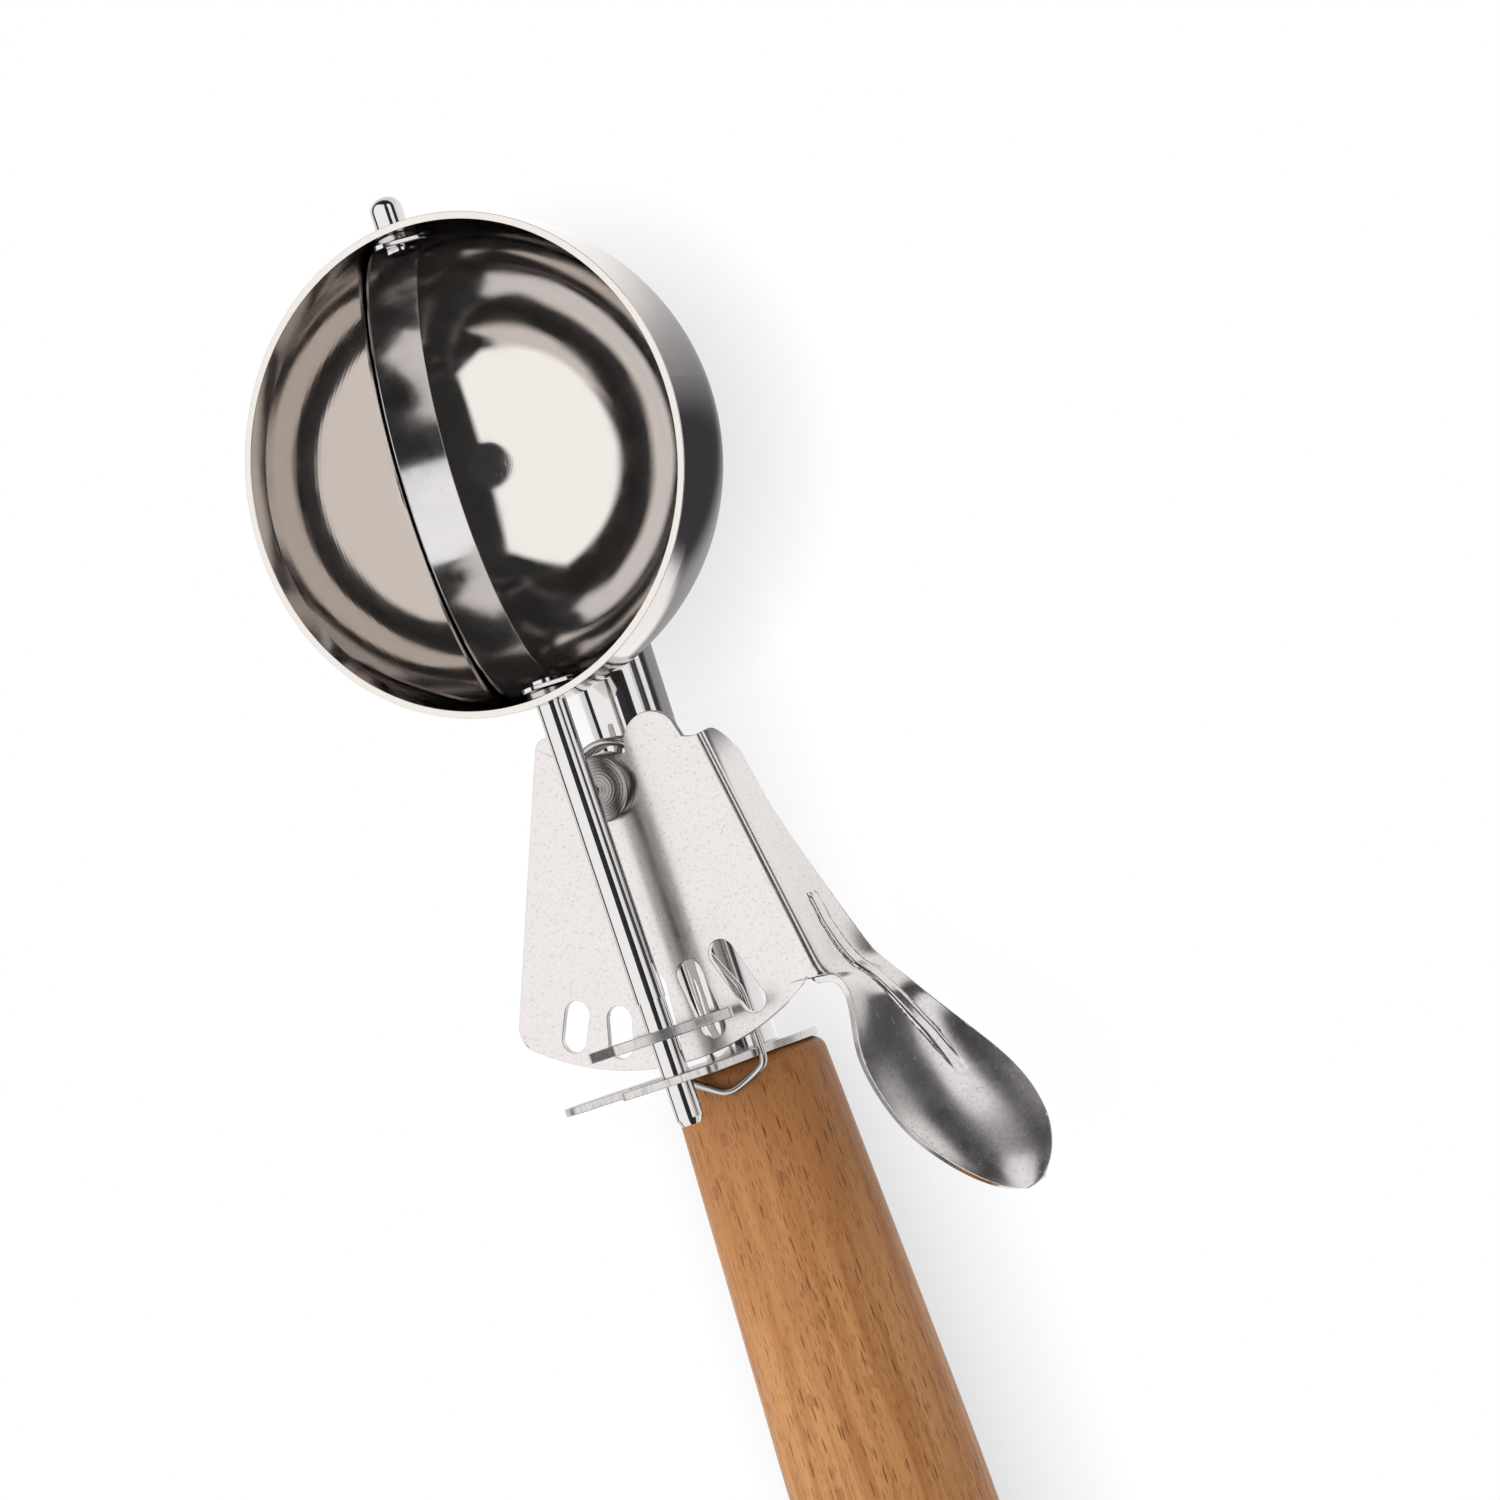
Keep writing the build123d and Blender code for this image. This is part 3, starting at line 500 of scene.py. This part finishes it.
satin_sheet, tree, shader = new_finish("satin_sheet", Metallic=1.0)
marks = marks_on(tree, 2.5)
tone = blend_colour(tree, times(tree, marks["Specks"], 0.36), satin_tone, satin_speck)
tree.links.new(tone, shader.inputs["Base Color"])
worn_gloss(tree, shader, marks, base=0.17, mottle=0.06, scratches=0.10)
tumbled = noise(tree, in_millimetres(tree), 2.2, 3.0, 0.6)
raise_by(tree, shader, tumbled, 0.10, 0.02 * MM)
lever.data.materials.append(satin_sheet)

# Rivet: a turned steel pivot through lever, washer and bush into the neck. Its flat head still
# shows the tool's rings and its centre mark.
rivet_profile = [(0, 13.50), (0.30, 13.52), (0.55, 13.75), (3.78, 13.75), (4.0, 13.65), (4.1, 13.42),
                 (4.1, 12.35), (2.0, 12.35), (2.0, 4.2), (1.5, 4.2), (1.5, -1.8), (0, -1.8)]
rivet_steps, rivet_edge = 72, 0.06

rivet_bm = bmesh.new()
profile = [rivet_bm.verts.new((radius, 0, rise)) for radius, rise in rivet_profile]
for low, high in zip(profile, profile[1:]):
    rivet_bm.edges.new((low, high))
bmesh.ops.spin(rivet_bm, geom=rivet_bm.verts[:] + rivet_bm.edges[:], cent=(0, 0, 0), axis=(0, 0, 1),
               angle=2 * pi, steps=rivet_steps, use_merge=True)
bmesh.ops.remove_doubles(rivet_bm, verts=rivet_bm.verts, dist=0.001)
bmesh.ops.recalc_face_normals(rivet_bm, faces=rivet_bm.faces)
rivet = set_in_frame(rivet_bm, Matrix.Translation((0, pivot_y, 0)), "pivot_rivet_turned")
soften(rivet, rivet_edge)
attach(rivet, "frame")
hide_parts("pivot_rivet")

head_tone, ring_tone = (0.34, 0.318, 0.310, 1), (0.18, 0.168, 0.163, 1)

turned_head, tree, shader = new_finish("turned_head_steel", Metallic=1.0)
centred = in_millimetres(tree, shift=(0, -pivot_y, 0))
ring_settings = {"Vector": centred, "Scale": 0.8, "Distortion": 1.2, "Detail": 3.0}
rings = put(tree, "TexWave", ring_settings, wave_type="RINGS", rings_direction="Z")
marks = marks_on(tree, 3.0)
cut = times(tree, rings.outputs["Fac"], 0.6)
tree.links.new(blend_colour(tree, cut, head_tone, ring_tone), shader.inputs["Base Color"])
tree.links.new(plus(tree, times(tree, marks["Scratches"], 0.15), 0.26), shader.inputs["Roughness"])
raise_by(tree, shader, rings.outputs["Fac"], 0.40, 0.03 * MM)
rivet.data.materials.append(turned_head)

# Drive shaft, tip pin and pinion: a ground round bar with the stamped pinion pressed on, riveted to
# the blade inside the bowl. The pin at the bowl's tip is domed by hand.
wear("drive_shaft", mirror_steel)
wear("tip_pin", mirror_steel)

pinion = with_soft_edges("pinion", "pinion_disc", stamped_edge)
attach(pinion, "blade")
pinion.data.materials.append(stamped_sheet)

# Scraper blade: a strip of bright rolled steel, flat across and bent to the bowl's curve. Its ends
# are riveted over the shaft's spigot and the tip pin. Rolling left lines along it.
bowl_middle = Vector((0, bowl_y, 18.1))
blade_turn = radians(41.0)
blade_across = Vector((cos(blade_turn), 0, -sin(blade_turn)))
blade_out = Vector((-sin(blade_turn), 0, -cos(blade_turn)))
blade_half_width, blade_inner, blade_outer = 3.2, 27.7, 28.3
blade_reach, blade_steps = radians(95.7), 96
blade_corner, blade_edge = 1.2, 0.12

strip_bm = bmesh.new()
section = [(-1, blade_inner), (1, blade_inner), (1, blade_outer), (-1, blade_outer)]
start = [strip_bm.verts.new(blade_across * (blade_half_width * side) + blade_out * radius)
         for side, radius in section]
start_face = strip_bm.faces.new(start)
bmesh.ops.rotate(strip_bm, verts=start, matrix=Matrix.Rotation(-blade_reach, 3, blade_across))
bmesh.ops.spin(strip_bm, geom=[start_face], cent=(0, 0, 0), axis=blade_across, angle=2 * blade_reach,
               steps=blade_steps)
blade_gauge = blade_outer - blade_inner
ends = [edge for edge in strip_bm.edges
        if abs(edge.calc_length() - blade_gauge) < 0.01 and edge.calc_face_angle(0) > 1]
bmesh.ops.bevel(strip_bm, geom=ends, offset=blade_corner, segments=6, profile=0.5, affect="EDGES",
                material=-1)
bmesh.ops.recalc_face_normals(strip_bm, faces=strip_bm.faces)
blade = set_in_frame(strip_bm, Matrix.Translation(bowl_middle), "blade_strip")
soften(blade, blade_edge)
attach(blade, "blade")
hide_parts("scraper_blade")

blade_tone = (0.620, 0.605, 0.608, 1)

rolled_strip, tree, shader = new_finish("rolled_strip", Metallic=1.0, Base_Color=blade_tone)
marks = marks_on(tree, 4.0)
worn_gloss(tree, shader, marks, base=0.09, mottle=0.06, scratches=0.12)
rolled = noise(tree, in_millimetres(tree, (0.3, 0.12, 0.3)), 1.0, 2.0)
raise_by(tree, shader, rolled, 0.08, 0.1 * MM)
blade.data.materials.append(rolled_strip)

# Return spring: hard drawn wire wound round the bush. One leg runs down behind the fan and hooks
# under the base plate, the other presses on the lever's flange.
wire_radius = 0.5
coil_radius, coil_pitch, coil_top_z = 5.45, 1.45, 10.7
coil_points, whole_turns = 24, 2
hook = [(-2.2, 109.28), (0.2, 107.75), (2.1, 106.75), (4.6, 107.45), (6.9, 108.4), (8.0, 109.2),
        (8.0, 111.7), (8.0, 118.0)]
moving_end = (15.45, 134.0)


def touch_angle(place, side):
    along, up = place[0], place[1] - pivot_y
    return atan2(up, along) + side * acos(coil_radius / hypot(along, up))


def leg_points(first, last, z, shares):
    return [(first[0] + (last[0] - first[0]) * share, first[1] + (last[1] - first[1]) * share, z)
            for share in shares]


start_angle = touch_angle(hook[-1], -1)
sweep = (start_angle - touch_angle(moving_end, 1)) % (2 * pi) + whole_turns * 2 * pi
steps = round(sweep / (2 * pi) * coil_points)
route = [(x, y, coil_top_z) for x, y in hook]
leg_top = (coil_radius * cos(start_angle), pivot_y + coil_radius * sin(start_angle))
route += leg_points(hook[-1], leg_top, coil_top_z, (0.04, 0.5, 0.96))
for step in range(steps + 1):
    wound = sweep * step / steps
    angle = start_angle - wound
    drop = coil_pitch * wound / (2 * pi)
    route.append((coil_radius * cos(angle), pivot_y + coil_radius * sin(angle), coil_top_z - drop))
route += leg_points(route[-1], moving_end, route[-1][2], (0.06, 0.5, 1.0))

wire_line = bpy.data.curves.new("spring_line", "CURVE")
wire_line.dimensions = "3D"
wire_line.bevel_depth = wire_radius * MM
wire_line.bevel_resolution = 5
wire_line.resolution_u = 5
wire_line.use_fill_caps = True
run = wire_line.splines.new("NURBS")
run.points.add(len(route) - 1)
for point, place in zip(run.points, route):
    point.co = (*(Vector(place) * MM), 1)
run.order_u = 3
run.use_endpoint_u = True
spring = placed("spring_wire", as_mesh(placed("spring_line", wire_line)))
spring.data.shade_smooth()

drawn_wire, tree, shader = new_finish("drawn_wire", Metallic=1.0, Base_Color=turned_steel)
marks = marks_on(tree, 6.0)
tree.links.new(plus(tree, times(tree, marks["Mottle"], 0.12), 0.14), shader.inputs["Roughness"])
raise_by(tree, shader, marks["Scratches"], 0.15, 0.01 * MM)
spring.data.materials.append(drawn_wire)
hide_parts("return_spring")
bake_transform(spring)

# Studio: a plain pale floor under the scoop, one large soft box high on its left, two small ones
# low on its right and a dim surround, so that polished steel shows bright fields with dark borders.
floor_z = -12.35 * MM
floor_middle_y, floor_radius, floor_grey = 0.11, 9.0, (0.60, 0.60, 0.60, 1)
contact_reach, contact_shade = 0.016, 0.35
white = (1, 1, 1, 1)
fill_light, dim_surround = 0.29, 0.035
scoop_middle = (0, 0.165, 0.0)

floor_bm = bmesh.new()
bmesh.ops.create_circle(floor_bm, cap_ends=True, segments=96, radius=floor_radius,
                        matrix=Matrix.Translation((0, floor_middle_y, floor_z)))
floor = finished(floor_bm, "floor")


def seen_rays(tree):
    path = put(tree, "LightPath").outputs
    seen = plus(tree, path["Is Camera Ray"], path["Is Glossy Ray"])
    seen = plus(tree, seen, path["Is Transmission Ray"])
    return put(tree, "Clamp", {"Value": seen}).outputs["Result"]


pale_floor, tree, shader = new_finish("pale_floor")
tree.nodes.remove(shader)
open_sky = put(tree, "AmbientOcclusion", {"Distance": contact_reach}, samples=16).outputs["AO"]
shade = plus(tree, times(tree, open_sky, contact_shade), 1 - contact_shade)
lit = put(tree, "Emission", {"Color": white, "Strength": shade}).outputs[0]
matt = put(tree, "BsdfDiffuse", {"Color": floor_grey}).outputs[0]
shown = put(tree, "MixShader", {0: seen_rays(tree), 1: matt, 2: lit}).outputs[0]
tree.links.new(shown, tree.nodes["Material Output"].inputs["Surface"])
floor.data.materials.append(pale_floor)

world = bpy.data.worlds.new("studio")
bpy.context.scene.world = world
world.use_nodes = True
tree = world.node_tree
tree.nodes.clear()
fill = put(tree, "Background", {"Color": white, "Strength": fill_light}).outputs[0]
surround = put(tree, "Background", {"Color": white, "Strength": dim_surround}).outputs[0]
shown = put(tree, "MixShader", {0: seen_rays(tree), 1: fill, 2: surround}).outputs[0]
tree.links.new(shown, put(tree, "OutputWorld").inputs["Surface"])


def soft_box(name, aim, away, level, distance, width, height, brightness, tint=(1, 1, 1)):
    lamp = bpy.data.lights.new(name, "AREA")
    lamp.shape = "RECTANGLE"
    lamp.color = tint
    lamp.size, lamp.size_y = width, height
    lamp.energy = brightness * width * height * pi
    box = placed(name, lamp)
    back = Vector(away).normalized()
    side = Vector(level).cross(back).normalized()
    box.matrix_world = Matrix((side, back.cross(side), back)).transposed().to_4x4()
    box.location = Vector(aim) + back * distance
    box.visible_camera = False


soft_box("key_box", aim=(0, 0.30, 0), away=(-0.42, -0.10, 0.89), level=(0.215, 1, 0),
         distance=0.62, width=1.30, height=1.78, brightness=1.30)
soft_box("side_box", aim=scoop_middle, away=(0.817, 0.189, 0.545), level=(0, 0, 1),
         distance=0.70, width=0.65, height=0.25, brightness=1.25, tint=(0.985, 0.975, 1.0))
soft_box("low_box", aim=scoop_middle, away=(0.961, -0.135, 0.242), level=(0, 0, 1),
         distance=0.70, width=0.43, height=0.20, brightness=1.0)

# Cards: a graded glowing one flat on the floor at the scoop's right, a dark flag beyond the pad and a
# dark disc by the camera. They are seen only in polished steel, which needs dark things to show its
# form.
# The graded card's darkest patch, under the bowl's right side, is painted shade seen in the steel.
card_z = floor_z / MM + 0.05
card_left, card_right, card_low, card_high, card_glow = -5, 260, 40, 250, 1.2
card_white, card_shade = (1.0, 1.0, 1.0, 1), (0.06, 0.06, 0.065, 1)
card_mid, card_under_bowl_shade = (0.33, 0.325, 0.34, 1), (0.045, 0.045, 0.052, 1)
shade_x, shade_y = (20, 125), (142, 120)
beside_x = (60, 48)
mid_from_y, mid_to_y = (149, 154), (225, 196)
dark_x, dark_from_y, dark_to_y = (17, 29), (151, 156), (200, 181)
flag_corners = [(82, 95, card_z), (82, 125, card_z), (300, 290, 95), (300, 150, 95)]
disc_middle, disc_radius, disc_points = Vector((129.6, 144.9, 362)), 74, 24


def stage_card(name, corners, finish):
    card_bm = bmesh.new()
    verts = [card_bm.verts.new(Vector(corner) * MM) for corner in corners]
    bmesh.ops.contextual_create(card_bm, geom=verts)
    card = finished(card_bm, name)
    card.visible_camera = card.visible_diffuse = card.visible_shadow = False
    card.data.materials.append(finish)


graded_card, tree, shader = new_finish("graded_card")
tree.nodes.remove(shader)
spot = put(tree, "SeparateXYZ", {"Vector": in_millimetres(tree)}).outputs
off_side = times(tree, ramp(tree, spot["X"], *shade_x), ramp(tree, spot["Y"], *shade_y))
beside = ramp(tree, spot["X"], *beside_x)
by_bowl = times(tree, ramp(tree, spot["Y"], *mid_from_y), ramp(tree, spot["Y"], *mid_to_y))
by_bowl = times(tree, by_bowl, beside)
# Painted shade: the darkest patch lies under the bowl's right side, where the floor is shaded, and
# shows only in the steel.
shade_under_bowl = times(tree, ramp(tree, spot["Y"], *dark_from_y), ramp(tree, spot["Y"], *dark_to_y))
shade_under_bowl = times(tree, shade_under_bowl, times(tree, ramp(tree, spot["X"], *dark_x), beside))
light = blend_colour(tree, off_side, card_white, card_shade)
light = blend_colour(tree, by_bowl, light, card_mid)
light = blend_colour(tree, shade_under_bowl, light, card_under_bowl_shade)
glow = put(tree, "Emission", {"Color": light, "Strength": card_glow}).outputs[0]
tree.links.new(glow, tree.nodes["Material Output"].inputs["Surface"])
stage_card("right_card", [(card_left, card_low, card_z), (card_right, card_low, card_z),
                          (card_right, card_high, card_z), (card_left, card_high, card_z)], graded_card)
matt_grey = new_finish("matt_grey", Base_Color=(0.05, 0.05, 0.058, 1), Roughness=0.9)[0]
stage_card("pad_flag", flag_corners, matt_grey)
disc_turns = [Matrix.Rotation(2 * pi * step / disc_points, 3, "Z") for step in range(disc_points)]
disc_rim = [disc_middle + turn @ Vector((disc_radius, 0, 0)) for turn in disc_turns]
stage_card("lens_disc", disc_rim, matt_grey)

# Camera: the photograph's own view, from above and to the pad's side. It was fitted to the bowl's
# rim, in a picture of 1500 by 1500, and has no shift and no depth of field.
lens_px, picture_px, sensor = 3684.476, 1500.0, 36.0
right = Vector((0.84309, -0.31963, -0.43248))
up = Vector((0.31234, 0.94569, -0.09004))
back = Vector((0.43777, -0.05917, 0.89714))
eye = Vector((209.769, 118.752, 401.059)) * MM
camera_data = bpy.data.cameras.new("camera")
camera_data.sensor_width = sensor
camera_data.lens = sensor * lens_px / picture_px
camera_data.clip_start, camera_data.clip_end = 0.01, 50
camera = placed("camera", camera_data)
camera.matrix_world = Matrix((right, up, back)).transposed().to_4x4()
camera.location = eye
bpy.context.scene.camera = camera

bpy.context.scene.view_settings.view_transform = "Standard"
